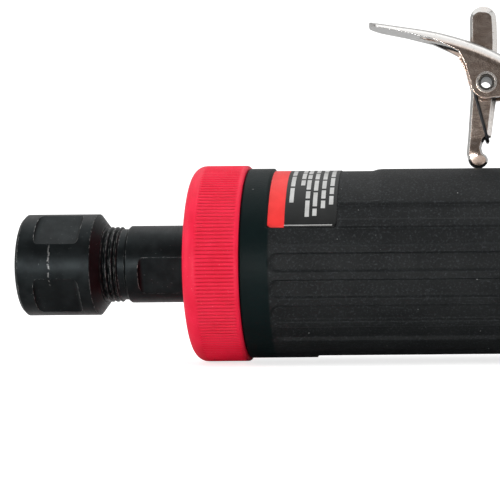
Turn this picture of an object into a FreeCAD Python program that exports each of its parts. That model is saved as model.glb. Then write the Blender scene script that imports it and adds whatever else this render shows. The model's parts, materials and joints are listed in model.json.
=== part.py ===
import FreeCAD
import Part
import math
import os

# Straight pneumatic die grinder with a safety throttle lever.
# Units are millimetres. X runs along the spindle from the collet nut's front face (x = 0)
# to the air inlet, Z points up to the lever.

os.makedirs("parts", exist_ok=True)
V = FreeCAD.Vector

# ---- collet end ----
NUT_LENGTH = 16.7
NUT_R = 10.5
NUT_FLAT = 9.5          # half of 19 mm across flats
NUT_FLAT_TURN = 4.5     # degrees the four flats are turned off the 45 degree positions
THREAD_R = 7.8
THREAD_PITCH = 1.058    # 24 threads per inch
THREAD_END = 19.8
SPINDLE_R = 8.0
SPINDLE_FLAT = 7.0      # half of 14 mm across flats
SPINDLE_FLAT_TURN = -19
SHANK_R = 3.0           # 6 mm burr shank

# ---- front ring and grip ----
RING_FRONT = 35.2
RING_REAR = 46.5
RING_R = 20.3
RING_RIBS = 162
GRIP_REAR = 148.0
GRIP_R = 19.65
GRIP_FLOOR_R = 19.0
CHANNEL_FRONT = 52.4
CHANNEL_REAR = 141.5
CHANNEL_WIDTH = 3.7
CHANNEL_STEP = 15.6
CHANNEL_FIRST = -46.1
CHANNELS_PER_SIDE = 6
TOP_FLAT_Z = 19.2
BOTTOM_FLAT_Z = -19.0
LABEL_LOW_ANGLE = 21.8

# ---- housing and air motor ----
HOUSING_R = 17.2
HOUSING_BORE = 15.5
STACK_R = 15.45
PARTITION_X = 107.0
CYLINDER_BORE = 12.6
ECCENTRIC = 1.1
ROTOR_R = 11.4
VANES = 5
FRONT_BEARING = dict(x=43.0, width=8.0, bore=5.0, outer=13.0, pitch=9.0, ball=2.38, cage=3.0)
REAR_BEARING = dict(x=99.0, width=7.0, bore=4.0, outer=11.0, pitch=7.5, ball=1.985, cage=2.55)
BEARING_BALLS = 7
RACE_GAP = 0.04

# ---- throttle valve, regulator, inlet ----
VALVE_X = 126.0
STEM_R = 2.0
STEM_TOP = 29.85
REGULATOR_X = 117.0
REGULATOR_R = 3.36
AIR_Z = 2.5
EXHAUST_Y = 12.6
EXHAUST_Z = -5.5
INLET_END = 176.0
INLET_HOLE_R = 5.72

# ---- throttle lever and safety lock lever ----
PIVOT_X = 138.0
PIVOT_Z = 23.0
LEVER_HALF = 5.4
SHEET = 1.3
LOCK_X = 95.65
LOCK_Z = 36.7
LOCK_THICK = 3.2
RIVET_R = 1.8


def rod(x0, x1, r, y=0.0, z=0.0):
    return Part.makeCylinder(r, x1 - x0, V(x0, y, z), V(1, 0, 0))


def tube(x0, x1, outer, inner):
    return rod(x0, x1, outer).cut(rod(x0 - 1, x1 + 1, inner))


def post(x, z0, z1, r, y=0.0):
    return Part.makeCylinder(r, z1 - z0, V(x, y, z0), V(0, 0, 1))


def cross_pin(x, z, y0, y1, r):
    return Part.makeCylinder(r, y1 - y0, V(x, y0, z), V(0, 1, 0))


def box(x0, x1, y0, y1, z0, z1):
    return Part.makeBox(x1 - x0, y1 - y0, z1 - z0, V(x0, y0, z0))


def turned(outline):
    """Solid of revolution about the spindle axis from (x, radius) corners."""
    points = [V(x, 0, r) for x, r in outline]
    face = Part.Face(Part.makePolygon(points + points[:1]))
    return face.revolve(V(0, 0, 0), V(1, 0, 0), 360)


def plate(outline, half):
    """Side outline of (x, z) corners, extruded to +half and -half in Y."""
    points = [V(x, -half, z) for x, z in outline]
    face = Part.Face(Part.makePolygon(points + points[:1]))
    return face.extrude(V(0, 2 * half, 0))


def about_x(shape, degrees):
    turned_shape = shape.copy()
    turned_shape.rotate(V(0, 0, 0), V(1, 0, 0), degrees)
    return turned_shape


def up_from_side(shape, degrees):
    """Turn a shape built pointing to -Y up towards +Z by an angle."""
    return about_x(shape, -degrees)


def fillet_along(shape, radius, test):
    """Round every edge whose middle passes the test."""
    chosen = []
    for edge in shape.Edges:
        middle = edge.valueAt((edge.FirstParameter + edge.LastParameter) / 2)
        if test(middle, edge):
            chosen.append(edge)
    return shape.makeFillet(radius, chosen)


def coil(radius, wire, pitch, height, base, direction):
    """Round-wire helical spring body; base is the centre of its first turn."""
    helix = Part.makeHelix(pitch, height, radius)
    profile = Part.Wire(Part.Circle(V(radius, 0, 0), V(0, 1, 0), wire).toShape())
    spring = Part.Wire(helix).makePipeShell([profile], True, True)
    spring.Placement = FreeCAD.Placement(base, FreeCAD.Rotation(V(0, 0, 1), direction))
    return spring


def wire_leg(start, end, wire):
    """Straight spring leg with round ends."""
    leg = Part.makeCylinder(wire, (end - start).Length, start, end - start)
    return leg.fuse([Part.makeSphere(wire, start), Part.makeSphere(wire, end)])


def save(name, shape):
    shape.removeSplitter().exportStep("parts/" + name + ".step")


# ================= collet nut, collet, spindle =================

nut = turned([
    (0.6, 5.15), (0.0, 5.75), (0.0, NUT_R - 0.6), (0.6, NUT_R), (15.1, NUT_R),
    (NUT_LENGTH, 8.35), (NUT_LENGTH, 7.85), (4.2, 7.85), (4.2, 6.6), (3.3, 6.6), (1.0, 5.25),
    (0.9, 5.15),
])
for k in range(4):
    pocket = box(3.5, 12.7, -12.5, -NUT_FLAT, -7, 7)
    pocket = fillet_along(pocket, 0.9, lambda m, e: abs(m.y + NUT_FLAT) < 0.01 and abs(m.z) < 0.01)
    nut = nut.cut(up_from_side(pocket, 45 + NUT_FLAT_TURN + 90 * k))
save("collet_nut", nut)

TAPER = 2.0 / 16.6
collet = turned([
    (0.4, SHANK_R), (0.4, 4.7), (0.7, 5.05), (1.0, 5.1), (3.1, 6.3), (3.4, 6.3),
    (20.0, 4.3), (20.0, SHANK_R),
])
for k in range(4):
    front_slit = box(-1, 15, -0.35, 0.35, 2, 8)
    rear_slit = box(6, 21, -0.35, 0.35, 2, 8)
    collet = collet.cut(about_x(front_slit, 90 * k))
    collet = collet.cut(about_x(rear_slit, 90 * k + 45))
save("collet", collet)

taper_front = 6.3 - TAPER * 1.2 + 0.03
spindle = turned([
    (4.6, taper_front), (4.6, THREAD_R - 0.6), (5.2, THREAD_R), (THREAD_END, THREAD_R),
    (THREAD_END + 0.3, 7.35), (21.5, 7.35), (21.5, SPINDLE_R - 0.35), (21.9, SPINDLE_R),
    (41.0, SPINDLE_R), (41.0, 6.5), (43.0, 6.5), (43.0, 4.0), (30.0, 4.0), (30.0, 0.0),
    (24.0, 0.0), (23.0, 4.0), (20.5, 4.33), (20.0, 4.33),
])
groove_x = 5.56
while groove_x < THREAD_END - 0.47:
    groove = turned([
        (groove_x - 0.47, THREAD_R + 0.05), (groove_x, THREAD_R - 0.6), (groove_x + 0.47, THREAD_R + 0.05),
    ])
    spindle = spindle.cut(groove)
    groove_x += THREAD_PITCH
for side in (0, 180):
    flat = box(24.35, 36.0, -10, -SPINDLE_FLAT, -8, 8)
    flat = fillet_along(flat, 1.05, lambda m, e: abs(m.y + SPINDLE_FLAT) < 0.01 and abs(m.x - 24.35) < 0.01)
    spindle = spindle.cut(up_from_side(flat, SPINDLE_FLAT_TURN + side))
save("collet_body", spindle)

# ================= rotor with its vanes =================

rotor = turned([
    (31.0, 0.0), (31.0, 3.7), (31.3, 3.98), (43.0, 3.98), (43.0, 5.0), (51.0, 5.0), (51.0, 6.0),
    (56.08, 6.0), (56.08, ROTOR_R), (93.92, ROTOR_R), (93.92, 4.5), (99.0, 4.5), (99.0, 4.0),
    (105.7, 4.0), (106.0, 3.7), (106.0, 0.0),
])
vane_list = []
for k in range(VANES):
    slot = box(55, 95, -0.85, 0.85, 5.6, 13)
    vane = box(56.15, 93.85, -0.81, 0.81, 5.7, ROTOR_R - 0.05)
    rotor = rotor.cut(about_x(slot, 360 / VANES * k))
    vane_list.append(about_x(vane, 360 / VANES * k))
save("rotor", rotor)
save("rotor_vanes", Part.makeCompound(vane_list))


# ================= ball bearings =================

def bearing(prefix, spec):
    x0 = spec["x"]
    x1 = x0 + spec["width"]
    mid = (x0 + x1) / 2
    inner_land = spec["pitch"] - 0.76 * spec["ball"]
    outer_land = spec["pitch"] + 0.76 * spec["ball"]
    race = Part.makeTorus(spec["pitch"], spec["ball"] + RACE_GAP, V(mid, 0, 0), V(1, 0, 0))
    inner_ring = turned([
        (x0, spec["bore"]), (x0, inner_land), (x1, inner_land), (x1, spec["bore"]),
    ]).cut(race)
    outer_ring = turned([
        (x0, outer_land), (x0, spec["outer"] - 0.4), (x0 + 0.4, spec["outer"]),
        (x1 - 0.4, spec["outer"]), (x1, spec["outer"] - 0.4), (x1, outer_land),
    ]).cut(race)
    cage = tube(mid - spec["cage"], mid + spec["cage"], spec["pitch"] + 1.0, spec["pitch"] - 1.0)
    balls = []
    for k in range(BEARING_BALLS):
        centre = about_x(Part.Vertex(V(mid, 0, spec["pitch"])), 360 / BEARING_BALLS * k).Point
        balls.append(Part.makeSphere(spec["ball"], centre))
        cage = cage.cut(Part.makeSphere(spec["ball"] + 0.03, centre))
    save(prefix + "_bearing_inner", inner_ring)
    save(prefix + "_bearing_outer", outer_ring)
    save(prefix + "_bearing_cage", cage)
    save(prefix + "_bearing_balls", Part.makeCompound(balls))


bearing("front", FRONT_BEARING)
bearing("rear", REAR_BEARING)

# ================= stationary stack inside the housing =================

front_plate = turned([
    (43.0, 13.0), (43.0, STACK_R), (56.0, STACK_R), (56.0, 6.1), (51.0, 6.1), (51.0, 13.0),
])
save("front_end_plate", front_plate)

exhaust_grooves = []
for side in (-1, 1):
    exhaust_grooves.append(rod(70, 107, 1.4, side * EXHAUST_Y * 15.0 / 13.75, EXHAUST_Z * 15.0 / 13.75))

cylinder = rod(56.0, 94.0, STACK_R).cut(rod(55, 95, CYLINDER_BORE, 0, -ECCENTRIC))
cylinder = cylinder.cut(exhaust_grooves)
exhaust_angle = math.degrees(math.atan2(EXHAUST_Z, EXHAUST_Y))
for x in (75, 79, 83):
    port = Part.makeCylinder(0.9, 5, V(x, 0, 11.5), V(0, 0, 1))
    cylinder = cylinder.cut(about_x(port, -90 + exhaust_angle))
    cylinder = cylinder.cut(about_x(port, 90 - exhaust_angle))
inlet_groove = box(86, 95, -2.2, 2.2, 10.5, 14.0)
cylinder = cylinder.cut(inlet_groove)
dowel_y = 13.65 * math.cos(math.radians(45))
cylinder = cylinder.cut(rod(55, 60, 1.0, dowel_y, dowel_y))
cylinder = cylinder.cut(rod(90, 95, 1.0, dowel_y, dowel_y))
save("cylinder", cylinder)

rear_plate = turned([
    (94.0, 4.6), (94.0, STACK_R), (106.0, STACK_R), (106.0, 11.0), (99.0, 11.0), (99.0, 4.6),
])
rear_plate = rear_plate.cut(exhaust_grooves)
rear_plate = rear_plate.cut(rod(93, 107, 1.3, 0, 12.8))
rear_plate = rear_plate.cut(rod(93, 98, 1.0, dowel_y, dowel_y))
front_plate_dowel = rod(52.0, 60.0, 1.0, dowel_y, dowel_y)
rear_plate_dowel = rod(90.0, 98.0, 1.0, dowel_y, dowel_y)
save("front_end_plate", front_plate.cut(front_plate_dowel))
save("rear_end_plate", rear_plate)
save("cylinder_dowels", Part.makeCompound([front_plate_dowel, rear_plate_dowel]))

gasket = tube(106.0, PARTITION_X, STACK_R, 10.5)
gasket = gasket.cut(exhaust_grooves).cut(rod(105, 108, 1.3, 0, 12.8))
save("rear_gasket", gasket)

clamp_ring = turned([
    (38.25, 8.4), (38.25, STACK_R - 0.5), (38.75, STACK_R), (43.0, STACK_R), (43.0, 11.5),
    (42.0, 10.8), (42.0, 10.6), (41.5, 10.6), (41.5, 11.0), (39.5, 11.0), (39.5, 8.4),
])
for side in (-1, 1):
    clamp_ring = clamp_ring.cut(rod(38, 41, 1.2, side * 13.2, 0))
save("clamp_ring", clamp_ring)
save("front_seal", tube(39.5, 41.5, 11.0, 8.1))

# ================= motor housing =================

housing = rod(38.2, GRIP_REAR, HOUSING_R)
housing = housing.cut(rod(37, PARTITION_X, HOUSING_BORE))
boss = box(PIVOT_X - 3.6, PIVOT_X + 3.6, -3.6, 3.6, 10.0, PIVOT_Z)
boss = boss.fuse(cross_pin(PIVOT_X, PIVOT_Z, -3.6, 3.6, 3.6))
housing = housing.fuse(boss)
housing = housing.cut([
    cross_pin(PIVOT_X, PIVOT_Z, -5, 5, 1.5),
    rod(134.0, 149.0, 8.0),
    rod(VALVE_X, 135.0, 2.8, 0, -7.5),
    post(VALVE_X, -18.0, -1.5, 5.0),
    post(VALVE_X, -2.0, 18.0, 3.6),
    rod(106.0, VALVE_X, 2.3, 0, AIR_Z),
    post(REGULATOR_X, -18.0, 6.0, REGULATOR_R + 0.04),
    box(106.0, 110.0, -2.0, 2.0, 1.0, 14.2),
    rod(106.0, 149.0, 2.0, EXHAUST_Y, EXHAUST_Z),
    rod(106.0, 149.0, 2.0, -EXHAUST_Y, EXHAUST_Z),
])
save("motor_housing", housing)

# ================= red front ring =================

shoulder = 2.6
ring_outline = [(38.15, 8.4), (RING_FRONT + 0.4, 8.4), (RING_FRONT, 8.8)]
for degrees in range(90, -1, -10):
    a = math.radians(degrees)
    ring_outline.append((
        RING_FRONT + shoulder * (1 - math.sin(a)), RING_R - shoulder * (1 - math.cos(a)),
    ))
ring_outline += [
    (RING_REAR - 0.5, RING_R), (RING_REAR, RING_R - 0.4), (RING_REAR, HOUSING_R + 0.02),
    (38.15, HOUSING_R + 0.02),
]
ring = turned(ring_outline)
star = []
for k in range(2 * RING_RIBS):
    radius = RING_R + 0.02 if k % 2 == 0 else RING_R - 0.28
    angle = math.pi * k / RING_RIBS
    star.append(V(37.9, radius * math.cos(angle), radius * math.sin(angle)))
ribbed_core = Part.Face(Part.makePolygon(star + star[:1])).extrude(V(7.8, 0, 0))
ring = ring.cut(rod(37.9, 45.7, 22).cut(ribbed_core))
save("front_ring", ring)

# ================= rubber grip and label =================

grip = turned([
    (RING_REAR, HOUSING_R + 0.02), (RING_REAR, GRIP_R - 0.3), (RING_REAR + 0.3, GRIP_R),
    (GRIP_REAR - 0.8, GRIP_R), (GRIP_REAR, GRIP_R - 0.8), (GRIP_REAR, HOUSING_R + 0.02),
])
channel_r = CHANNEL_WIDTH / 2
channel = box(CHANNEL_FRONT + channel_r, CHANNEL_REAR - channel_r, -22, -15, -channel_r, channel_r)
for x in (CHANNEL_FRONT + channel_r, CHANNEL_REAR - channel_r):
    channel = channel.fuse(Part.makeCylinder(channel_r, 7, V(x, -22, 0), V(0, 1, 0)))
channel = channel.cut(rod(40, 160, GRIP_FLOOR_R))
mirrored = channel.mirror(V(0, 0, 0), V(0, 1, 0))
for k in range(CHANNELS_PER_SIDE):
    angle = CHANNEL_FIRST + CHANNEL_STEP * k
    grip = grip.cut(about_x(channel, -angle))
    grip = grip.cut(about_x(mirrored, angle))


def sector(x0, x1, outer, inner, low_angle):
    """Part of a tube that lies above a low angle on both sides."""
    reach = 40 * math.cos(math.radians(low_angle))
    rise = 40 * math.sin(math.radians(low_angle))
    outline = [
        V(x0, 0, 0), V(x0, -reach, rise), V(x0, -40, 60), V(x0, 40, 60), V(x0, reach, rise), V(x0, 0, 0),
    ]
    wedge = Part.Face(Part.makePolygon(outline)).extrude(V(x1 - x0, 0, 0))
    return tube(x0, x1, outer, inner).common(wedge)


grip = grip.cut(sector(51.8, 65.8, 21, GRIP_FLOOR_R, LABEL_LOW_ANGLE - 0.4))
grip = grip.cut(sector(65.7, 72.2, 21, GRIP_FLOOR_R, 39.2))
grip = grip.cut(box(74.4, 149.0, -6, 6, TOP_FLAT_Z, 22))
grip = grip.cut(box(60.2, GRIP_REAR + 1, -8, 8, -22, BOTTOM_FLAT_Z))
foot_window = box(93.1, 107.0, -2.6, 2.6, 15, 22)
for x in (93.1, 107.0):
    foot_window = foot_window.fuse(post(x, 15, 22, 2.6))
grip = grip.cut(foot_window)
grip = grip.cut(post(VALVE_X, 15, 22, 4.0))
grip = grip.cut(box(PIVOT_X - 4.0, PIVOT_X + 4.0, -4.0, 4.0, 15, 22))
grip = grip.cut(post(VALVE_X, -22, -15, 5.3))
grip = grip.cut(post(REGULATOR_X, -22, -15, 5.0))
save("grip_sleeve", grip)
save("label", sector(51.9, 65.6, GRIP_FLOOR_R + 0.15, GRIP_FLOOR_R, LABEL_LOW_ANGLE))

# ================= throttle valve =================

bushing = post(VALVE_X, 6.0, 17.2, 3.6).cut(post(VALVE_X, 5, 18, STEM_R + 0.04))
seal_groove = post(VALVE_X, 13.0, 14.1, 2.9)
save("valve_bushing", bushing.cut(seal_groove))
save("stem_seal", Part.makeTorus(2.48, 0.4, V(VALVE_X, 0, 13.55), V(0, 0, 1)))
save("valve_seat", post(VALVE_X, -3.0, -1.5, 5.0).cut(post(VALVE_X, -4, 0, 2.9)))

dome_r = 4.0
stem = post(VALVE_X, -3.2, STEM_TOP, STEM_R)
dome = Part.makeSphere(dome_r, V(VALVE_X, 0, STEM_TOP - dome_r))
stem_cap = post(VALVE_X, STEM_TOP - 2, STEM_TOP, STEM_R)
stem = stem.cut(stem_cap.cut(dome))
save("throttle_stem", stem)
poppet = post(VALVE_X, -5.0, -3.4, 3.9).fuse(post(VALVE_X, -6.2, -5.0, 2.4))
poppet = poppet.fuse(post(VALVE_X, -3.4, -3.2, 1.9))
save("valve_poppet", poppet)
save("poppet_seal", post(VALVE_X, -3.4, -3.03, 3.9).cut(post(VALVE_X, -4, -3, STEM_R + 0.02)))
save("valve_spring", coil(3.2, 0.4, 1.36, 6.3, V(VALVE_X, 0, -12.05), V(0, 0, 1)))
cap = post(VALVE_X, -17.3, -12.5, 5.0)
cap = cap.cut(post(VALVE_X, -13.6, -12.4, 2.2))
cap = cap.cut(box(VALVE_X - 4, VALVE_X + 4, -0.6, 0.6, -18, -16.1))
cap_groove = post(VALVE_X, -15.1, -13.9, 5.5).cut(post(VALVE_X, -15.2, -13.8, 4.1))
save("valve_cap", cap.cut(cap_groove))
save("valve_cap_seal", Part.makeTorus(4.55, 0.44, V(VALVE_X, 0, -14.5), V(0, 0, 1)))

# ================= power regulator =================

regulator = post(REGULATOR_X, -17.4, 5.9, REGULATOR_R)
regulator = regulator.fuse(post(REGULATOR_X, -18.9, -17.4, 4.6))
regulator = regulator.cut(rod(REGULATOR_X - 6, REGULATOR_X + 6, 2.3, 0, AIR_Z))
regulator = regulator.cut(box(REGULATOR_X - 5, REGULATOR_X + 5, -0.6, 0.6, -19.5, -18.0))
regulator_groove = post(REGULATOR_X, -13.0, -12.1, 4.0).cut(post(REGULATOR_X, -13.1, -12.0, 2.6))
save("regulator", regulator.cut(regulator_groove))
save("regulator_seal", Part.makeTorus(2.98, 0.36, V(REGULATOR_X, 0, -12.55), V(0, 0, 1)))

# ================= air inlet, muffler, exhaust deflector =================

inlet = turned([
    (136.0, 4.6), (136.0, 7.5), (136.5, 8.0), (148.0, 8.0), (148.0, 9.0), (160.1, 9.0), (160.1, 10.4),
    (160.7, 11.4), (175.2, 11.4), (INLET_END, 10.4), (INLET_END, 6.5), (175.2, INLET_HOLE_R),
    (162.8, INLET_HOLE_R), (162.8, 5.2), (161.8, 5.2), (161.8, 4.6),
])
for k in range(6):
    side_cut = box(160.05, 177, -14, -10.0, -8, 8)
    inlet = inlet.cut(about_x(side_cut, 60 * k))
save("inlet_bushing", inlet)

screen = rod(161.8, 162.7, 5.19)
for k in range(6):
    screen = screen.cut(about_x(rod(161, 163, 0.8, 0, 3.0), 60 * k))
save("inlet_screen", screen.cut(rod(161, 163, 0.8)))

save("muffler", tube(149.0, 156.5, 17.2, 9.0))
deflector = turned([
    (148.2, 17.6), (148.2, 19.0), (148.7, 19.4), (158.6, 19.4), (160.0, 18.0), (160.0, 9.06),
    (157.4, 9.06), (157.4, 17.6),
])
for k in range(5):
    vent = box(150.4, 156.4, -21, -16, -1.1, 1.1)
    for x in (150.4, 156.4):
        vent = vent.fuse(Part.makeCylinder(1.1, 5, V(x, -21, 0), V(0, 1, 0)))
    deflector = deflector.cut(about_x(vent, 50 + 20 * k))
save("exhaust_deflector", deflector)

# ================= lever pivot pin =================

pivot_pin = cross_pin(PIVOT_X, PIVOT_Z, -5.5, 5.5, 1.5)
pivot_pin = pivot_pin.fuse(cross_pin(PIVOT_X, PIVOT_Z, -6.4, -5.5, 2.4))
save("lever_pivot_pin", pivot_pin.fuse(cross_pin(PIVOT_X, PIVOT_Z, 5.5, 6.2, 2.1)))

# ================= throttle lever =================

CROWN = [
    (68.0, 50.0), (71.5, 49.6), (79.0, 48.5), (85.0, 47.5), (91.0, 45.9), (95.0, 44.5), (99.0, 42.6),
    (108.0, 38.2), (118.0, 33.9), (124.0, 31.9), (130.0, 30.5), (138.0, 29.2), (146.0, 28.3),
]
LEVER_FRONT = 71.5
LEVER_REAR = 143.6


def crown_solid(drop, half, radius):
    """Everything below the crown curve lowered by a drop, with rounded shoulders."""
    curve = Part.BSplineCurve()
    curve.interpolate([V(x, -half, z - drop) for x, z in CROWN])
    first = V(CROWN[0][0], -half, 5)
    last = V(CROWN[-1][0], -half, 5)
    top = curve.toShape()
    wire = Part.Wire([
        top,
        Part.makeLine(V(CROWN[-1][0], -half, CROWN[-1][1] - drop), last),
        Part.makeLine(last, first),
        Part.makeLine(first, V(CROWN[0][0], -half, CROWN[0][1] - drop)),
    ])
    solid = Part.Face(wire).extrude(V(0, 2 * half, 0))

    def is_shoulder(middle, edge):
        return abs(abs(middle.y) - half) < 0.01 and middle.z > 25 and edge.Length > 60

    return fillet_along(solid, radius, is_shoulder)


shell = crown_solid(0, LEVER_HALF, 3.0).cut(crown_solid(SHEET * 1.06, LEVER_HALF - SHEET, 1.7))


def lobe(cx, cz, radius, start, end, step=15):
    """Points of an arc in the side view, from one angle to another."""
    count = max(1, round(abs(end - start) / step))
    points = []
    for k in range(count + 1):
        a = math.radians(start + (end - start) * k / count)
        points.append((cx + radius * math.cos(a), cz + radius * math.sin(a)))
    return points


side = [(LEVER_FRONT, 60.0), (LEVER_FRONT, 48.7), (79.0, 47.2), (84.6, 45.8), (88.0, 44.3)]
side += [(89.9, 43.3), (90.8, 41.7), (91.6, 39.9), (92.2, 37.2)]
side += lobe(LOCK_X, LOCK_Z, 3.25, 175, 285)
side += [(99.5, 33.9), (103.0, 33.7), (107.0, 32.3), (118.0, 27.3), (126.0, 24.6), (131.0, 23.2)]
side += lobe(PIVOT_X, PIVOT_Z, 3.3, 215, 350)
side += [(143.0, 25.0), (LEVER_REAR, 26.5), (LEVER_REAR, 60.0)]
lever = shell.common(plate(side, 8))
lock_slot = box(84.1, 97.4, -2.1, 2.1, 36, 55)
for x in (84.1, 97.4):
    lock_slot = lock_slot.fuse(post(x, 36, 55, 2.1))
lever = lever.cut(lock_slot)
lever = lever.cut(cross_pin(LOCK_X, LOCK_Z, -8, 8, RIVET_R))
lever = lever.cut(cross_pin(PIVOT_X, PIVOT_Z, -8, 8, 1.55))
tip_mask = box(70, 77, -8, 8, 40, 55).cut(post(LEVER_FRONT + 5.4, 40, 55, 5.6))
lever = lever.cut(tip_mask.cut(box(76.9, 78, -9, 9, 39, 56)))
save("throttle_lever", lever)

# ================= lock lever, its rivet and torsion spring =================

rivet = cross_pin(LOCK_X, LOCK_Z, -LEVER_HALF, LEVER_HALF, RIVET_R)
for side_sign in (-1, 1):
    y0 = min(side_sign * LEVER_HALF, side_sign * (LEVER_HALF + 0.6))
    rivet = rivet.fuse(cross_pin(LOCK_X, LOCK_Z, y0, y0 + 0.6, 2.15))
rivet = rivet.cut(cross_pin(LOCK_X, LOCK_Z, -7, 7, 1.15))
for side_sign in (-1, 1):
    mouth = V(LOCK_X, side_sign * (LEVER_HALF + 0.61), LOCK_Z)
    rivet = rivet.cut(Part.makeCone(1.75, 1.1, 0.9, mouth, V(0, -side_sign, 0)))
save("lock_pin", rivet)

# Each corner of the lock lever is (x, z) and how far its worn bevel reaches in, (x, z).
tab_corners = [(92.45, 45.3, 0.55, 0.0), (92.45, 50.1, 0.55, -0.1)]
for degrees in range(170, 19, -15):
    a = math.radians(degrees)
    reach = 1.4 - 0.011 * (degrees - 90)
    if degrees < 90:
        reach = 1.4 - 0.006 * (90 - degrees)
    tab_corners.append((
        95.2 + 2.75 * math.cos(a), 50.2 + 2.75 * math.sin(a), -reach * math.cos(a), -reach * math.sin(a),
    ))
tab_corners += [
    (97.98, 49.6, -1.0, -0.1), (98.1, 45.3, -1.0, 0.0), (97.7, 33.2, -1.0, 0.0), (97.4, 31.3, -1.0, 0.0),
    (96.65, 25.8, -0.9, 0.5), (95.3, 25.25, -0.5, 0.4), (94.85, 24.4, -0.45, 0.1), (94.6, 23.5, -0.45, 0.0),
    (94.85, 22.5, -0.4, -0.2), (95.6, 21.9, -0.35, -0.3), (95.95, 21.2, -0.45, -0.1),
    (95.85, 20.4, -0.4, 0.15), (95.3, 19.8, -0.3, 0.35),
]
for degrees in range(-75, -166, -15):
    a = math.radians(degrees)
    c = math.cos(a)
    s = math.sin(a)
    tab_corners.append((94.0 + 2.2 * c, 21.5 + 2.2 * s, -0.5 * c, -0.5 * s))
tab_corners += [(91.55, 22.6, 0.5, 0.0), (91.9, 26.1, 0.5, 0.0), (92.6, 35.6, 0.55, 0.0)]


def tab_wire(y, inset):
    points = [V(x + inset * dx, y, z + inset * dz) for x, z, dx, dz in tab_corners]
    return Part.makePolygon(points + points[:1])


half = LOCK_THICK / 2
tab = plate([(x, z) for x, z, dx, dz in tab_corners], half - 0.7)
for side_sign in (-1, 1):
    outer = tab_wire(side_sign * (half - 0.7), 0.0)
    inner = tab_wire(side_sign * half, 1.0)
    tab = tab.fuse(Part.makeLoft([outer, inner], True, True))
tab = tab.cut(cross_pin(LOCK_X, LOCK_Z, -3, 3, RIVET_R + 0.05))
save("lock_lever", tab)

WIRE = 0.35
COIL_R = 2.55
spring = None
for side_sign in (-1, 1):
    start = V(LOCK_X, side_sign * 2.05, LOCK_Z)
    turns = coil(COIL_R, WIRE, 0.74, 1.48, start, V(0, side_sign, 0))
    inner_y = side_sign * 2.05
    outer_y = side_sign * 3.53
    inner_leg = wire_leg(V(LOCK_X - COIL_R, inner_y, LOCK_Z), V(95.95, inner_y, 24.85), WIRE)
    outer_leg = wire_leg(V(LOCK_X, outer_y, LOCK_Z + COIL_R), V(104.5, outer_y, 36.9), WIRE)
    piece = turns.fuse([inner_leg, outer_leg])
    spring = piece if spring is None else spring.fuse(piece)
bridge = wire_leg(V(95.95, -2.05, 24.85), V(95.95, 2.05, 24.85), WIRE)
save("lock_spring", spring.fuse(bridge))
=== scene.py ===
import json
import math

import bpy
import numpy as np
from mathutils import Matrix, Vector


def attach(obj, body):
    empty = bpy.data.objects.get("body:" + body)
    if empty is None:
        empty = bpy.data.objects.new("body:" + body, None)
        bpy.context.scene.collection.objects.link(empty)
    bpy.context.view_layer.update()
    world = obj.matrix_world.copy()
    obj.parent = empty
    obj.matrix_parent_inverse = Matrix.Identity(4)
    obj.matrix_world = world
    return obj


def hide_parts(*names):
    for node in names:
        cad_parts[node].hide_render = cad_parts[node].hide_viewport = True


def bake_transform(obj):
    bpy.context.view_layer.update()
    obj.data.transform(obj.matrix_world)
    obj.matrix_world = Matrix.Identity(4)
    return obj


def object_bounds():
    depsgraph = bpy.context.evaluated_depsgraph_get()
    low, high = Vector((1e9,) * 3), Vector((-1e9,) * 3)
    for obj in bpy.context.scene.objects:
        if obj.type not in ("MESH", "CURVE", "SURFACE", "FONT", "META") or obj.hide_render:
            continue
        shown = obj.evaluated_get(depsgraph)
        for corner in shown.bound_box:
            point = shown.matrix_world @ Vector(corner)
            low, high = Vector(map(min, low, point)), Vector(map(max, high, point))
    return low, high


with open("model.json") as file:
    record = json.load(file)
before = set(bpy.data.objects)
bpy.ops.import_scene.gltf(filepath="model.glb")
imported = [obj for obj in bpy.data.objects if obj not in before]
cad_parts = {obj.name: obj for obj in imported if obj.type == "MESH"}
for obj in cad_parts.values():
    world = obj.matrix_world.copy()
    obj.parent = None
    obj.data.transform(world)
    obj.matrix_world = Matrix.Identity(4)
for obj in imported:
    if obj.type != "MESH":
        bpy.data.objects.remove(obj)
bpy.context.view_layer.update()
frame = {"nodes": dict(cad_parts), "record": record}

MM = 0.001
scene = bpy.context.scene

# Places and sizes in millimetres, in the shared frame: X from the nut's front face to the air inlet, Z up.
NUT_SCRATCH_X = 6.9
RING_FRONT, RING_REAR, RING_R = 35.2, 46.5, 20.3
GRIP_FRONT, GRIP_REAR = RING_REAR, 148.0
GRIP_R, FLOOR_R, HOUSING_R = 19.65, 19.0, 17.2
LABEL_FRONT, LABEL_REAR, LABEL_R = 51.9, 65.6, 19.15
LABEL_LOW = 21.8        # degrees up from the near side to the label's lower edge
LABEL_BAND_END = 55.3
LOCK_X, LOCK_Z = 95.65, 36.7
FOOT_X, FOOT_Z = 94.0, 22.2
REGULATOR_X, VALVE_X, LEVER_PIVOT_X = 117.0, 126.0, 138.0


# ---------------------------------------------------------------- node helpers


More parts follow.
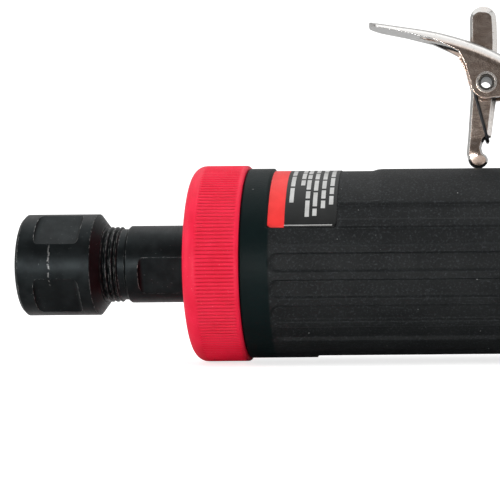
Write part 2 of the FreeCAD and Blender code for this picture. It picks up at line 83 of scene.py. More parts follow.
class Shader:
    """A small wrapper round one material's node tree."""

    def __init__(self, name):
        self.material = bpy.data.materials.new(name)
        self.material.use_nodes = True
        self.tree = self.material.node_tree
        self.surface = self.tree.nodes["Principled BSDF"]
        self.place = self.add("ShaderNodeTexCoord").outputs["Object"]

    def add(self, kind, **settings):
        node = self.tree.nodes.new(kind)
        for key, value in settings.items():
            setattr(node, key, value)
        return node

    def feed(self, socket, value):
        if isinstance(value, bpy.types.NodeSocket):
            self.tree.links.new(value, socket)
        elif value is not None:
            if socket.type == "RGBA" and len(value) == 3:
                value = (*value, 1.0)
            socket.default_value = value

    def math(self, operation, a, b=None, clamp=False):
        node = self.add("ShaderNodeMath", operation=operation, use_clamp=clamp)
        self.feed(node.inputs[0], a)
        self.feed(node.inputs[1], b)
        return node.outputs[0]

    def span(self, value, low, high, to_low=0.0, to_high=1.0):
        node = self.add("ShaderNodeMapRange", interpolation_type="SMOOTHSTEP")
        self.feed(node.inputs["Value"], value)
        self.feed(node.inputs["From Min"], low)
        self.feed(node.inputs["From Max"], high)
        self.feed(node.inputs["To Min"], to_low)
        self.feed(node.inputs["To Max"], to_high)
        return node.outputs["Result"]

    def stretched(self, x, y, z):
        node = self.add("ShaderNodeMapping")
        self.feed(node.inputs["Vector"], self.place)
        node.inputs["Scale"].default_value = (x, y, z)
        return node.outputs["Vector"]

    def axes(self):
        """The X, Y and Z of the shaded point, in metres in the shared frame."""
        where = self.add("ShaderNodeSeparateXYZ")
        self.feed(where.inputs[0], self.place)
        return where.outputs["X"], where.outputs["Y"], where.outputs["Z"]

    def distance(self, a, b, centre_mm=(0.0, 0.0)):
        """How far two coordinates lie from a centre, in metres."""
        squares = [self.math("POWER", self.math("SUBTRACT", value, middle * MM), 2.0)
                   for value, middle in zip((a, b), centre_mm)]
        return self.math("SQRT", self.math("ADD", *squares))

    def noise(self, size_mm, detail=2.0, rough=0.5, vector=None):
        node = self.add("ShaderNodeTexNoise")
        self.feed(node.inputs["Vector"], vector or self.place)
        node.inputs["Scale"].default_value = 1000.0 / size_mm
        node.inputs["Detail"].default_value = detail
        node.inputs["Roughness"].default_value = rough
        return node.outputs["Fac"]

    def blend(self, factor, a, b):
        node = self.add("ShaderNodeMix", data_type="RGBA")
        self.feed(node.inputs["Factor"], factor)
        self.feed(node.inputs["A"], a)
        self.feed(node.inputs["B"], b)
        return node.outputs["Result"]

    def edges(self, radius_mm, low=0.02, high=0.25):
        """1 on outside and inside edges, 0 on open faces."""
        bevel = self.add("ShaderNodeBevel", samples=4)
        bevel.inputs["Radius"].default_value = radius_mm * MM
        geometry = self.add("ShaderNodeNewGeometry")
        dot = self.add("ShaderNodeVectorMath", operation="DOT_PRODUCT")
        self.feed(dot.inputs[0], bevel.outputs["Normal"])
        self.feed(dot.inputs[1], geometry.outputs["Normal"])
        turned = self.math("SUBTRACT", 1.0, dot.outputs["Value"])
        return self.span(turned, low, high)

    def height(self, value, depth_mm, normal=None):
        node = self.add("ShaderNodeBump")
        node.inputs["Strength"].default_value = 1.0
        node.inputs["Distance"].default_value = depth_mm * MM
        self.feed(node.inputs["Height"], value)
        if normal is not None:
            self.feed(node.inputs["Normal"], normal)
        return node.outputs["Normal"]

    def soft_edge(self, radius_mm):
        bevel = self.add("ShaderNodeBevel", samples=6)
        bevel.inputs["Radius"].default_value = radius_mm * MM
        return bevel.outputs["Normal"]

    def done(self, color, roughness, metallic=0.0, normal=None, specular=None):
        self.feed(self.surface.inputs["Base Color"], color)
        self.feed(self.surface.inputs["Roughness"], roughness)
        self.feed(self.surface.inputs["Metallic"], metallic)
        if normal is not None:
            self.feed(self.surface.inputs["Normal"], normal)
        if specular is not None:
            self.feed(self.surface.inputs["Specular IOR Level"], specular)
        return self.material


def metal(name, dark, light, roughness, grain_mm=0.08, depth_mm=0.002, edge=None, streak=(1, 1, 1)):
    """Worked metal: patchy tone, a fine tool grain and, if asked, brighter worn edges."""
    s = Shader(name)
    patches = s.span(s.noise(6.0, 3.0), 0.35, 0.65)
    color = s.blend(patches, dark, light)
    grain = s.noise(grain_mm, 2.0, 0.6, s.stretched(*streak))
    mottle = s.math("ADD", s.math("MULTIPLY", grain, 0.5), s.math("MULTIPLY", patches, 0.5))
    rough = s.span(mottle, 0.2, 0.8, roughness * 0.85, roughness * 1.2)
    if edge:
        worn = s.math("MULTIPLY", s.edges(0.22), s.span(s.noise(0.8, 3.0), 0.35, 0.6))
        color = s.blend(worn, color, edge)
    return s.done(color, rough, 1.0, s.height(grain, depth_mm, s.soft_edge(0.12)))


def moulded(name, dark, light, roughness, grain_mm=0.25, depth_mm=0.01, specular=0.5, patch_mm=8.0):
    """Plastic, rubber, felt or fibre with a grained skin."""
    s = Shader(name)
    patches = s.span(s.noise(patch_mm, 3.0), 0.3, 0.7)
    grain = s.noise(grain_mm, 3.0, 0.6)
    mottle = s.math("MULTIPLY", s.math("ADD", patches, s.span(grain, 0.35, 0.65)), 0.5)
    color = s.blend(mottle, dark, light)
    rough = s.span(grain, 0.3, 0.7, roughness * 0.9, roughness * 1.1)
    return s.done(color, rough, 0.0, s.height(grain, depth_mm, s.soft_edge(0.1)), specular=specular)


# ---------------------------------------------------------------- materials


def black_oxide():
    """Oil-blackened steel, worn bright on edges, with turning marks and a scratch on the nut."""
    s = Shader("black_oxide")
    patches = s.span(s.noise(3.0, 4.0), 0.3, 0.7)
    color = s.blend(patches, (0.006, 0.0082, 0.0090), (0.0135, 0.0172, 0.0182))
    turning = s.noise(0.10, 2.0, 0.5, s.stretched(1.0, 0.04, 0.04))
    speckle = s.span(s.noise(0.40, 2.0), 0.70, 0.76)
    color = s.blend(s.math("MULTIPLY", speckle, 0.25), color, (0.20, 0.21, 0.21))
    worn = s.math("MULTIPLY", s.edges(0.25, 0.015, 0.2), s.span(s.noise(0.9, 4.0), 0.42, 0.60))
    x, y, z = s.axes()
    drift = s.math("MULTIPLY", s.math("SUBTRACT", s.noise(2.5, 4.0, 0.7), 0.5), 1.6 * MM)
    off = s.math("ABSOLUTE", s.math("SUBTRACT", s.math("ADD", x, drift), NUT_SCRATCH_X * MM))
    scratch = s.math("MULTIPLY", s.span(off, 0.20 * MM, 0.08 * MM), s.span(s.noise(0.7, 2.0), 0.42, 0.55))
    scratch = s.math("MULTIPLY", scratch, s.span(s.math("ABSOLUTE", z), 4.4 * MM, 3.4 * MM))
    scratch = s.math("MULTIPLY", scratch, s.span(y, -6.0 * MM, -8.0 * MM))
    worn = s.math("MAXIMUM", s.math("MULTIPLY", worn, 0.85), s.math("MULTIPLY", scratch, 0.45))
    color = s.blend(worn, color, (0.42, 0.42, 0.41))
    rough = s.span(turning, 0.3, 0.7, 0.36, 0.48)
    return s.done(color, rough, 0.8, s.height(turning, 0.005, s.soft_edge(0.15)), specular=0.4)


def nickel():
    """Bright plated sheet: a painted brown reflection where seen square on, neutral at shallow angles,
    with faint pits.
    """
    s = Shader("nickel_plate")
    cloud = s.span(s.noise(1.1, 4.0, 0.65), 0.3, 0.7)
    # painted reflection: the brownish tint stands in for the room reflected where the sheet faces the
    # viewer
    painted_brown_reflection = s.blend(cloud, (0.50, 0.375, 0.305), (0.72, 0.59, 0.51))
    facing = s.add("ShaderNodeLayerWeight").outputs["Facing"]
    color = s.blend(s.span(facing, 0.04, 0.26), painted_brown_reflection, (0.60, 0.59, 0.575))
    lines = s.noise(0.12, 3.0, 0.6, s.stretched(0.08, 1.0, 1.0))
    pits = s.span(s.noise(0.32, 2.0), 0.62, 0.70)
    color = s.blend(s.math("MULTIPLY", pits, 0.45), color, (0.22, 0.18, 0.15))
    rough = s.span(lines, 0.3, 0.7, 0.14, 0.22)
    ripple = s.noise(1.6, 2.0)
    x, _, z = s.axes()
    worn_foot = s.span(s.distance(x, z, (FOOT_X, FOOT_Z)), 3.4 * MM, 0.0)
    normal = s.height(ripple, 0.03, s.height(lines, 0.0012, s.soft_edge(0.25)))
    normal = s.height(worn_foot, 0.5, normal)
    return s.done(color, rough, 1.0, normal)


def red_plastic():
    """Red moulded plastic: painted shade darkens it between the ribs, with a little pale dust."""
    s = Shader("red_ring")
    cloud = s.span(s.noise(4.0, 3.0), 0.3, 0.7)
    color = s.blend(cloud, (0.86, 0.011, 0.048), (0.93, 0.016, 0.062))
    x, y, z = s.axes()
    # painted shade: the colour is darkened in the valleys between the ribs, where shade falls
    valley = s.span(s.distance(y, z), (RING_R - 0.04) * MM, (RING_R - 0.26) * MM)
    ribbed = s.math("MULTIPLY", s.span(x, 37.9 * MM, 38.4 * MM), s.span(x, 46.0 * MM, 45.6 * MM))
    shade = s.math("MULTIPLY", valley, s.math("MULTIPLY", ribbed, 0.5))
    color = s.blend(shade, color, (0.45, 0.002, 0.012))
    dust = s.span(s.noise(0.22, 2.0), 0.70, 0.76)
    color = s.blend(s.math("MULTIPLY", dust, 0.35), color, (0.90, 0.45, 0.48))
    grain = s.noise(0.15, 2.0)
    rough = s.span(grain, 0.3, 0.7, 0.42, 0.52)
    return s.done(color, rough, 0.0, s.height(grain, 0.003), specular=0.22)


def grip_rubber():
    """Matte black rubber with a fine grain; the smooth front band is a little glossier and greener."""
    s = Shader("rubber_grip")
    x, _, _ = s.axes()
    band = s.span(x, 52.6 * MM, 52.0 * MM)
    cloud = s.span(s.noise(7.0, 4.0), 0.3, 0.7)
    grain = s.noise(0.16, 3.0, 0.65)
    lumps = s.noise(0.55, 2.0)
    rubber = s.blend(cloud, (0.0060, 0.0072, 0.0078), (0.0105, 0.0120, 0.0125))
    smooth = s.blend(cloud, (0.0010, 0.0060, 0.0064), (0.0022, 0.0088, 0.0092))
    speck = s.math("MULTIPLY", s.span(s.noise(0.45, 3.0, 0.7), 0.50, 0.72), s.math("SUBTRACT", 1.0, band))
    rubber = s.blend(speck, rubber, (0.034, 0.038, 0.041))
    rim = s.math("MULTIPLY", s.edges(0.30, 0.004, 0.06), s.span(s.noise(0.5, 2.0), 0.40, 0.60))
    rubber = s.blend(s.math("MULTIPLY", rim, 0.7), rubber, (0.075, 0.083, 0.085))
    color = s.blend(band, rubber, smooth)
    dust = s.span(s.noise(0.9, 1.0), 0.795, 0.81)
    color = s.blend(s.math("MULTIPLY", dust, 0.7), color, (0.5, 0.5, 0.5))
    rough = s.math("SUBTRACT", s.span(grain, 0.3, 0.7, 0.50, 0.66), s.math("MULTIPLY", band, 0.14))
    fine = s.height(grain, 0.03)
    sheen = s.math("SUBTRACT", 0.22, s.math("MULTIPLY", band, 0.12))
    return s.done(color, rough, 0.0, s.height(lumps, 0.035, fine), specular=sheen)


def steel_wire():
    return metal("spring_steel", (0.016, 0.016, 0.018), (0.04, 0.04, 0.042), 0.35, 0.05, 0.002)


def hollow_rivet():
    """Plated rivet, with painted shade inside its bore."""
    s = Shader("hollow_rivet")
    x, _, z = s.axes()
    # painted shade: inside the bore the colour is near black and the metal mostly off, for the shade in
    # the hole
    bore = s.span(s.distance(x, z, (LOCK_X, LOCK_Z)), 1.5 * MM, 1.2 * MM)
    plate = s.blend(s.span(s.noise(1.0, 3.0), 0.3, 0.7), (0.55, 0.50, 0.46), (0.70, 0.66, 0.62))
    color = s.blend(bore, plate, (0.012, 0.011, 0.010))
    grain = s.noise(0.1, 2.0)
    rough = s.span(grain, 0.3, 0.7, 0.2, 0.3)
    metallic = s.math("SUBTRACT", 1.0, s.math("MULTIPLY", bore, 0.8))
    return s.done(color, rough, metallic, s.height(grain, 0.002, s.soft_edge(0.15)))


MATERIALS = {
    "black_oxide": black_oxide(),
    "nickel_plate": nickel(),
    "red_ring": red_plastic(),
    "rubber_grip": grip_rubber(),
    "spring_steel": steel_wire(),
    "housing": metal("housing", (0.42, 0.43, 0.44), (0.55, 0.56, 0.57), 0.5, 0.15, 0.01),
    "steel_parts": metal("steel_parts", (0.40, 0.40, 0.41), (0.52, 0.52, 0.53), 0.3, 0.08, 0.003,
                         streak=(1, 0.05, 0.05)),
    "cast_plates": metal("cast_plates", (0.16, 0.16, 0.165), (0.26, 0.26, 0.265), 0.5, 0.3, 0.02),
    "cylinder_steel": metal("cylinder_steel", (0.42, 0.42, 0.43), (0.5, 0.5, 0.51), 0.28, 0.07, 0.002),
    "bearing_steel": metal("bearing_steel", (0.60, 0.60, 0.61), (0.70, 0.70, 0.71), 0.14, 0.05, 0.001),
    "brass_parts": metal("brass_parts", (0.56, 0.38, 0.14), (0.70, 0.50, 0.21), 0.28, 0.1, 0.003),
    "plated_steel": metal("plated_steel", (0.42, 0.415, 0.40), (0.50, 0.495, 0.48), 0.32, 0.12, 0.003,
                          edge=(0.66, 0.65, 0.63)),
    "felt": moulded("felt", (0.30, 0.28, 0.23), (0.48, 0.45, 0.38), 0.95, 0.4, 0.12, 0.2, 2.0),
    "cage_plastic": moulded("cage_plastic", (0.30, 0.17, 0.07), (0.42, 0.26, 0.12), 0.5, 0.2, 0.01),
    "gasket": moulded("gasket", (0.06, 0.09, 0.06), (0.11, 0.15, 0.11), 0.8, 0.35, 0.03),
    "seals": moulded("seals", (0.010, 0.010, 0.011), (0.020, 0.020, 0.021), 0.45, 0.2, 0.004),
    "vane_composite": moulded("vane_composite", (0.16, 0.08, 0.035), (0.30, 0.17, 0.08), 0.55, 0.25, 0.01),
    "deflector_plastic": moulded("deflector_plastic", (0.018, 0.019, 0.021), (0.030, 0.031, 0.033),
                                 0.48, 0.2, 0.008),
    "label": moulded("label", (0.02, 0.02, 0.02), (0.03, 0.03, 0.03), 0.3, 0.2, 0.002),
}
for part in frame["record"]["subparts"]:
    node = frame["nodes"][part["node"]]
    node.data.materials.clear()
    node.data.materials.append(MATERIALS[part["material_slot"]])
frame["nodes"]["lock_pin"].data.materials[0] = hollow_rivet()


# ---------------------------------------------------------------- mesh helpers


def new_mesh(name, points_mm, faces, material, body=None, stands_for=None):
    """A smooth-shaded piece riding a body, which may take the place of a CAD node."""
    mesh = bpy.data.meshes.new(name)
    mesh.from_pydata((np.asarray(points_mm, float) * MM).tolist(), [], faces)
    mesh.materials.append(material)
    mesh.polygons.foreach_set("use_smooth", [True] * len(mesh.polygons))
    mesh.update()
    piece = bpy.data.objects.new(name, mesh)
    scene.collection.objects.link(piece)
    if body:
        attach(piece, body)
    if stands_for:
        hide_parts(stands_for)
    return piece


def wrapped_grid(rings):
    """Faces joining rings of equal length, each ring closed on itself."""
    count = len(rings[0])
    faces = []
    for i in range(len(rings) - 1):
        for j in range(count):
            k = (j + 1) % count
            faces.append((rings[i][j], rings[i][k], rings[i + 1][k], rings[i + 1][j]))
    return faces


def revolve_rings(xs, radii, angles):
    """Points for rings at xs, with a radius for each ring and angle. Angle 0 faces -Y and 90 faces +Z."""
    a = np.radians(angles)
    x = np.repeat(np.asarray(xs)[:, None], len(angles), 1)
    points = np.stack([x, -radii * np.cos(a), radii * np.sin(a)], -1)
    return points.reshape(-1, 3)


def smooth01(value, low, high):
    """A soft step from 0 at low to 1 at high."""
    t = np.clip((value - low) / (high - low), 0, 1)
    return t * t * (3 - 2 * t)


# ---------------------------------------------------------------- rubber grip

CHANNEL_FRONT, CHANNEL_REAR = 52.4, 141.5
CHANNEL_HALF = 1.85
CHANNEL_CENTRES = [-46.1 + 15.6 * k for k in range(6)]


def fine_values(low, high, coarse, fine, zones):
    """Sorted values from low to high, coarse apart, and fine apart inside the zones."""
    values = set(np.round(np.arange(low, high + 1e-6, coarse), 4))
    values.add(high)
    for start, end in zones:
        values |= set(np.round(np.arange(start, end + 1e-6, fine), 4))
    kept = [min(values)]
    for value in sorted(values):
        if value - kept[-1] > fine * 0.45:
            kept.append(value)
    return np.array(kept)


def grip_radius(x, angle):
    """Outside radius of the grip at a place along it and an angle up from the near side."""
    side = np.where(angle > 90, 180 - angle, np.where(angle < -90, -180 - angle, angle))
    rise = np.sin(np.radians(side))
    radius = np.full(np.broadcast(x, angle).shape, GRIP_R)
    for centre in CHANNEL_CENTRES:
        across = np.radians(side - centre) * 19.3
        first, last = CHANNEL_FRONT + CHANNEL_HALF, CHANNEL_REAR - CHANNEL_HALF
        along = np.maximum(np.maximum(first - x, x - last), 0)
        outside = np.sqrt(along ** 2 + across ** 2) - CHANNEL_HALF
        radius = radius - (GRIP_R - FLOOR_R) * (1 - smooth01(outside, -0.32, 0.14))
    upper = smooth01(side, 38.8, 39.6) * smooth01(x, 51.75, 52.0) * (1 - smooth01(x, 71.7, 74.4))
    patch = smooth01(side, 21.0, 21.6) * smooth01(x, 51.75, 52.0) * (1 - smooth01(x, 65.7, 65.9))
    recess = np.maximum(upper, patch)
    radius = np.minimum(radius, GRIP_R - (GRIP_R - FLOOR_R) * recess)
    top = np.where(rise > 0.5, 19.2 / np.maximum(rise, 0.5), 99)
    top = top + 3 * (1 - smooth01(x, 71.4, 72.0))
    radius = np.minimum(radius, top)
    bottom = np.where(rise < -0.5, 19.0 / np.maximum(-rise, 0.5), 99)
    bottom = bottom + 3 * (1 - smooth01(x, 59.9, 60.6))
    radius = np.minimum(radius, bottom)
    front_edge = 0.3 * (1 - smooth01(x, GRIP_FRONT, GRIP_FRONT + 0.3))
    rear_edge = 0.8 * smooth01(x, GRIP_REAR - 0.8, GRIP_REAR) ** 2
    radius = radius - front_edge - rear_edge
    y = radius * np.cos(np.radians(angle))

    def opening(distance):
        return 1 - smooth01(distance, -0.12, 0.12)

    foot = np.sqrt(np.maximum(np.maximum(93.1 - x, x - 107.0), 0) ** 2 + y ** 2) - 2.6
    stem = np.sqrt((x - VALVE_X) ** 2 + y ** 2) - 4.0
    boss = np.maximum(np.abs(x - LEVER_PIVOT_X) - 4.0, np.abs(y) - 4.0)
    high = np.maximum(opening(foot), np.maximum(opening(stem), opening(boss))) * (rise > 0.8)
    cap = np.sqrt((x - VALVE_X) ** 2 + y ** 2) - 5.3
    knob = np.sqrt((x - REGULATOR_X) ** 2 + y ** 2) - 5.0
    low = np.maximum(opening(cap), opening(knob)) * (rise < -0.8)
    return radius - (radius - HOUSING_R - 0.02) * np.maximum(high, low)


def build_grip():
    """A grid wrapped round the grip, fine along the edges of its channels, recess, steps and openings."""
    detailed = [(46.5, 48.0), (51.3, 56.5), (59.6, 61), (65.3, 66.3), (71.2, 75.3), (90.2, 92.8),
                (107.0, 110.0), (111.6, 143.0), (146.8, 148.0)]
    xs = fine_values(GRIP_FRONT, GRIP_REAR, 1.8, 0.3, detailed)
    zones = []
    for centre in CHANNEL_CENTRES:
        for edge in (centre - 5.5, centre + 5.5):
            for mirrored in (edge, 180 - edge if edge > -0.1 else -180 - edge):
                zones.append((mirrored - 0.9, mirrored + 0.9))
    zones += [(74, 106), (-106, -74), (20.6, 22.0), (38.4, 40.0), (158.0, 159.4), (140.0, 141.6)]
    angles = fine_values(-180, 179.4, 1.5, 0.36, zones)
    grid_x, grid_a = np.meshgrid(xs, angles, indexing="ij")
    radii = grip_radius(grid_x, grid_a)
    inner = np.full(len(angles), HOUSING_R + 0.02)
    full_x = np.concatenate([[GRIP_FRONT], xs, [GRIP_REAR]])
    full_r = np.vstack([inner, radii, inner])
    points = revolve_rings(full_x, full_r, angles)
    rings = np.arange(len(points)).reshape(len(full_x), len(angles))
    faces = wrapped_grid(rings.tolist())
    return new_mesh("rubber_grip", points, faces, MATERIALS["rubber_grip"], "tool_body", "grip_sleeve")


build_grip()


# ---------------------------------------------------------------- red ring

RIBS = 162
CORNER_R = 2.6
# Places along the ring's outside, each with the share of the valleys' full depth that is cut there.
RIB_DEPTHS = [(37.95, 0.0), (38.15, 0.5), (38.45, 1.0), (41.0, 1.0), (44.0, 1.0), (45.2, 1.0), (45.5, 0.8),
              (45.7, 0.3), (45.9, 0.0)]
# Depth of the cut across one rib and the valley beside it, in mm.
RIB_WAVE = [0.0, 0.02, 0.10, 0.34, 0.10, 0.02]


def build_ring():
    """The red ring as a turned outline, with ribs cut into its outside."""
    outline = [(38.15, 8.4), (35.6, 8.4), (35.3, 8.5)]
    outline += [(RING_FRONT, radius) for radius in (8.8, 9.1, 17.0)]
    for degrees in range(90, -1, -9):
        a = math.radians(degrees)
        outline.append((RING_FRONT + CORNER_R * (1 - math.sin(a)), RING_R - CORNER_R * (1 - math.cos(a))))
    ribbed_from = len(outline)
    outline += [(x, RING_R) for x, _ in RIB_DEPTHS]
    outline += [(46.2, 20.25), (46.42, 20.1)]
    outline += [(RING_REAR, radius) for radius in (19.9, 19.0, 17.25)]
    steps = RIBS * len(RIB_WAVE)
    angles = np.arange(steps) * 360.0 / steps
    valley = np.tile(RIB_WAVE, RIBS)
    radii = np.array([[r] * steps for _, r in outline])
    for row, (_, share) in enumerate(RIB_DEPTHS, ribbed_from):
        radii[row] -= valley * share
    points = revolve_rings([x for x, _ in outline], radii, angles)
    rings = np.arange(len(points)).reshape(len(outline), steps)
    faces = wrapped_grid(rings.tolist())
    return new_mesh("ribbed_ring", points, faces, MATERIALS["red_ring"], "tool_body", "front_ring")


build_ring()


# ---------------------------------------------------------------- label

PRINT_R = LABEL_R + 0.015
CORNER_FRONT, CORNER_REAR = LABEL_FRONT + 1.0, LABEL_REAR - 1.0
BAR_HALF = 0.42
BAR_GAP = 1.7           # degrees
# Each row of bars: its place along the grip, and how far up from the label's lower edge it starts, in mm.
ROWS = [(56.5, 5.8), (58.5, 11.0), (59.7, 2.3), (61.2, 2.5), (62.8, 4.3), (64.4, 5.2)]


def film(name, dark, light, roughness):
    """Glossy printed film with a faint mottle."""
    s = Shader(name)
    grain = s.noise(0.2, 2.0)
    cloud = s.span(s.noise(2.5, 2.0), 0.3, 0.7)
    rough = s.span(grain, 0.3, 0.7, roughness * 0.85, roughness * 1.15)
    return s.done(s.blend(cloud, dark, light), rough, 0.0, s.height(grain, 0.002), specular=0.3)


FILM_BLACK = film("label_black", (0.006, 0.007, 0.007), (0.010, 0.011, 0.011), 0.42)
FILM_RED = film("label_red", (0.88, 0.028, 0.026), (0.94, 0.036, 0.034), 0.42)
FILM_PALE = film("label_pale", (0.50, 0.50, 0.49), (0.62, 0.62, 0.61), 0.40)


def add_bar(x0, x1, low, high, points, faces):
    """Adds a curved four-sided patch of print, from one angle up to another."""
    count = max(2, int((high - low) / 1.5))
    first = len(points)
    for k in range(count + 1):
        a = math.radians(low + (high - low) * k / count)
        for x in (x0, x1):
            points.append((x, -PRINT_R * math.cos(a), PRINT_R * math.sin(a)))
    for k in range(count):
        i = first + 2 * k
        faces.append((i, i + 1, i + 3, i + 2))


def add_bar_both_sides(x0, x1, low, high, points, faces):
    add_bar(x0, x1, low, high, points, faces)
    add_bar(x0, x1, 180 - high, 180 - low, points, faces)


def build_label_film():
    """A film wrapped over the top of the grip, with rounded corners and a red band."""
    xs = np.concatenate([np.linspace(LABEL_FRONT, CORNER_FRONT, 8), [53.6, 54.5, LABEL_BAND_END],
                         np.linspace(56.0, 64.1, 9), np.linspace(CORNER_REAR, LABEL_REAR, 8)])
    columns = 96
    points, faces = [], []
    for x in xs:
        beyond = min(1.0, max(CORNER_FRONT - x, x - CORNER_REAR, 0.0))
        inset = 1.0 - math.sqrt(1.0 - beyond ** 2)
        reach = 90 - LABEL_LOW - math.degrees(inset / LABEL_R)
        for k in range(columns + 1):
            a = math.radians(90 - reach + 2 * reach * k / columns)
            points.append((x, -LABEL_R * math.cos(a), LABEL_R * math.sin(a)))
    stride = columns + 1
    for i in range(len(xs) - 1):
        for k in range(columns):
            first = i * stride + k
            faces.append((first, first + stride, first + stride + 1, first + 1))
    piece = new_mesh("label_film", points, faces, FILM_BLACK, "tool_body", "label")
    piece.data.materials.append(FILM_RED)
    for polygon in piece.data.polygons:
        if polygon.center.x < LABEL_BAND_END * MM:
            polygon.material_index = 1
    thick = piece.modifiers.new("thickness", "SOLIDIFY")
    thick.thickness = 0.13 * MM
    thick.offset = -1


def build_label_print():
    """Rows of plain pale bars of uneven length, and a thin border along each lower edge."""
    points, faces = [], []
    wobble = 0.37
    for row, (x, start) in enumerate(ROWS):
        at = LABEL_LOW + math.degrees(start / LABEL_R)
        while at < 87:
            wobble = (wobble * 7.13 + 0.291) % 1.0
            stop = min(at + 4.5 + 9.0 * wobble, 88.0)
            if stop - at > 1.0 and not (row == 1 and at > 76):
                add_bar_both_sides(x - BAR_HALF, x + BAR_HALF, at, stop, points, faces)
            at = stop + BAR_GAP
    edge = LABEL_LOW + math.degrees(0.55 / LABEL_R)
    add_bar_both_sides(LABEL_BAND_END, 64.75, edge - 0.5, edge, points, faces)
    new_mesh("label_print", points, faces, FILM_PALE, "tool_body")


build_label_film()
build_label_print()


# ---------------------------------------------------------------- springs


def wire(name, path_mm, radius_mm, sides=10):
    """A round wire along a path of points, as a mesh not yet on any body."""
    path = np.asarray(path_mm, float)
    tangents = np.gradient(path, axis=0)
    tangents /= np.linalg.norm(tangents, axis=1)[:, None]
    normal = np.cross(tangents[0], (0.3, 0.9, 0.1))
    points, faces = [], []
    for centre, tangent in zip(path, tangents):
        normal = normal - tangent * np.dot(normal, tangent)
        normal /= np.linalg.norm(normal)
        across = np.cross(tangent, normal)
        for k in range(sides):
            a = 2 * math.pi * k / sides
            points.append(centre + radius_mm * (normal * math.cos(a) + across * math.sin(a)))
    for i in range(len(path) - 1):
        for k in range(sides):
            n = (k + 1) % sides
            faces.append((i * sides + k, i * sides + n, (i + 1) * sides + n, (i + 1) * sides + k))
    faces.append(tuple(range(sides))[::-1])
    faces.append(tuple(range((len(path) - 1) * sides, len(path) * sides)))
    return new_mesh(name, points, faces, MATERIALS["spring_steel"])


def rounded(corners, radius, per_corner=6, step=0.8):
    """A path through the corners, with each inner corner rounded."""
    corners = [np.array(c, float) for c in corners]
    path = [corners[0]]
    for before, at, after in zip(corners, corners[1:], corners[2:]):
        back = (before - at) / np.linalg.norm(before - at)
        ahead = (after - at) / np.linalg.norm(after - at)
        start, end = at + back * radius, at + ahead * radius
        for k in range(per_corner + 1):
            t = k / per_corner
            path.append((1 - t) ** 2 * start + 2 * t * (1 - t) * at + t ** 2 * end)
    path.append(corners[-1])
    full = [path[0]]
    for point in path[1:]:
        count = max(1, int(np.linalg.norm(point - full[-1]) / step))
        origin = full[-1]
        for k in range(1, count + 1):
            full.append(origin + (point - origin) * k / count)
    return full


LOCK_WIRE_R = 0.35
LOCK_COIL_R = 2.55
LOCK_COIL_TURNS = 2.25
LOCK_COIL_PITCH = 0.66
LOCK_COIL_Y = 2.02      # where each coil starts, out from the middle


def build_lock_spring():
    """A coil on each side of the lock lever, joined by a loop that hooks round its rear edge."""
    for sign, side in ((-1, "near"), (1, "far")):
        turns = []
        for k in range(61):
            turned = LOCK_COIL_TURNS * k / 60
            a = math.pi - 2 * math.pi * turned
            turns.append(np.array([LOCK_X + LOCK_COIL_R * math.cos(a),
                                   sign * (LOCK_COIL_Y + LOCK_COIL_PITCH * turned),
                                   LOCK_Z + LOCK_COIL_R * math.sin(a)]))
        last = turns[-1]
        tail = rounded([last, (101.5, last[1], 37.9), (105.0, last[1], 36.4)], 1.0)
        coil = wire("lock_coil_" + side, turns + tail[1:], LOCK_WIRE_R)
        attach(coil, "lever")
        if side == "near":
            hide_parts("lock_spring")
    leg = [(LOCK_X - 2.55, LOCK_Z + 0.6), (LOCK_X - 2.5, LOCK_Z - 1.2), (95.95, 24.85)]
    corners = [(x, -LOCK_COIL_Y, z) for x, z in leg] + [(x, LOCK_COIL_Y, z) for x, z in reversed(leg)]
    loop = wire("lock_spring_loop", rounded(corners, 0.7, 8), LOCK_WIRE_R)
    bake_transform(loop)


build_lock_spring()


def build_valve_spring():
    """A coil under the poppet, at one fixed length."""
    turns = []
    for k in range(181):
        t = k / 180
        a = 2 * math.pi * 5.2 * t
        turns.append((VALVE_X + 3.2 * math.cos(a), 3.2 * math.sin(a), -12.05 + 6.4 * t))
    spring = wire("valve_coil_spring", turns, 0.4)
    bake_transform(spring)
    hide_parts("valve_spring")


build_valve_spring()


# ---------------------------------------------------------------- smooth shading of the CAD pieces

for node in frame["nodes"].values():
    if not node.hide_render:
        split = node.modifiers.new("smooth", "EDGE_SPLIT")
        split.split_angle = math.radians(24)


# ---------------------------------------------------------------- floor, light, camera

floor_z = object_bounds()[0].z - 0.0002
bpy.ops.mesh.primitive_plane_add(size=6.0, location=(0.09, 0.6, floor_z))
floor = bpy.context.object
floor.name = "floor"


def floor_material():
    """Pale board that stays near white to the camera and takes a faint shadow."""
    s = Shader("floor_board")
    grain = s.noise(40.0, 2.0)
    s.done(s.blend(grain, (0.80, 0.80, 0.80), (0.84, 0.84, 0.84)), 0.9)
    s.feed(s.surface.inputs["Emission Color"], (1.0, 1.0, 1.0))
    path = s.add("ShaderNodeLightPath")
    s.feed(s.surface.inputs["Emission Strength"], s.math("MULTIPLY", path.outputs["Is Camera Ray"], 0.75))
    return s.material


floor.data.materials.append(floor_material())

world = bpy.data.worlds.new("studio")
world.use_nodes = True
scene.world = world


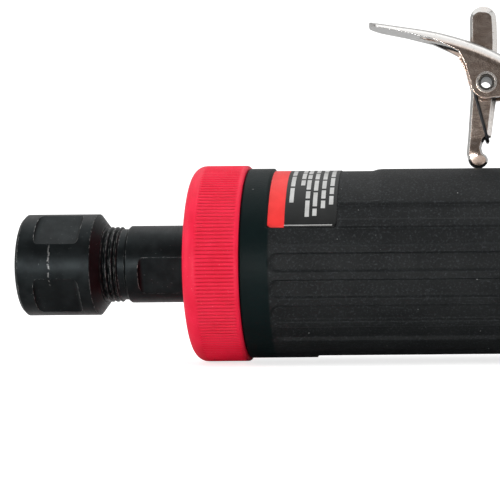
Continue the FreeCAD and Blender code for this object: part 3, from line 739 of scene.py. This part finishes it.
def light_tent():
    """White to the camera. As light: brightest behind, weaker above and below, and dim in front."""
    tree = world.node_tree
    background = tree.nodes["Background"]
    background.inputs["Color"].default_value = (1.0, 1.0, 1.0, 1.0)
    direction = tree.nodes.new("ShaderNodeTexCoord").outputs["Generated"]
    parts = tree.nodes.new("ShaderNodeSeparateXYZ")
    tree.links.new(direction, parts.inputs[0])

    def ramp(value, low, high, top):
        node = tree.nodes.new("ShaderNodeMapRange")
        node.interpolation_type = "SMOOTHSTEP"
        tree.links.new(value, node.inputs["Value"])
        node.inputs["From Min"].default_value = low
        node.inputs["From Max"].default_value = high
        node.inputs["To Max"].default_value = top
        return node.outputs["Result"]

    def combine(operation, a, b):
        node = tree.nodes.new("ShaderNodeMath")
        node.operation = operation
        for socket, value in zip(node.inputs, (a, b)):
            if isinstance(value, bpy.types.NodeSocket):
                tree.links.new(value, socket)
            else:
                socket.default_value = value
        return node.outputs[0]

    behind = ramp(parts.outputs["Y"], -0.15, 0.35, 0.48)
    above = ramp(parts.outputs["Z"], 0.45, 0.90, 0.22)
    under = ramp(combine("MULTIPLY", parts.outputs["Z"], -1.0), 0.30, 0.85, 0.35)
    level = combine("ADD", combine("ADD", behind, combine("MAXIMUM", above, under)), 0.13)
    ray = tree.nodes.new("ShaderNodeLightPath").outputs["Is Camera Ray"]
    tree.links.new(combine("MAXIMUM", level, combine("MULTIPLY", ray, 1.3)), background.inputs["Strength"])


light_tent()


def softbox(name, place, aim, width, height, power):
    """A rectangular lamp at a place, facing the point it aims at."""
    light = bpy.data.lights.new(name, "AREA")
    light.shape = "RECTANGLE"
    light.size = width
    light.size_y = height
    light.energy = power
    lamp = bpy.data.objects.new(name, light)
    lamp.location = place
    direction = Vector(aim) - Vector(place)
    lamp.rotation_euler = direction.to_track_quat("-Z", "Y").to_euler()
    scene.collection.objects.link(lamp)


MIDDLE = (0.06, 0.0, 0.0)
softbox("overhead", (0.05, -0.02, 0.55), MIDDLE, 0.90, 0.70, 2.0)
softbox("front", (-0.12, -0.60, -0.01), (0.02, 0, 0), 0.24, 0.05, 1.7)
softbox("left", (-0.60, -0.20, 0.20), MIDDLE, 0.30, 0.40, 1.2)
softbox("right", (0.60, -0.20, 0.22), MIDDLE, 0.60, 0.60, 1.1)
softbox("below", (0.06, -0.40, -0.50), MIDDLE, 0.60, 0.16, 1.9)

camera_data = bpy.data.cameras.new("camera")
camera_data.lens = 108.0
camera_data.sensor_width = 36.0
LENS_SHIFT = -0.402
camera = bpy.data.objects.new("camera", camera_data)
camera.location = (0.0881, -0.3125, 0.0024)
camera.rotation_mode = "XYZ"
camera.rotation_euler = (math.radians(90), math.radians(0.5), 0)
scene.collection.objects.link(camera)
scene.camera = camera

# The photo shows only the front of the tool, off the middle of the lens.
curve = camera_data.driver_add("shift_x")
curve.driver.type = "SUM"
variable = curve.driver.variables.new()
variable.type = "SINGLE_PROP"
variable.targets[0].id = camera
variable.targets[0].data_path = "rotation_mode"
for modifier in list(curve.modifiers):
    curve.modifiers.remove(modifier)
line = curve.modifiers.new("GENERATOR")
line.poly_order = 1
line.coefficients = (0.0, LENS_SHIFT)

scene.view_settings.view_transform = "Standard"
scene.view_settings.look = "None"
scene.view_settings.exposure = 0.0
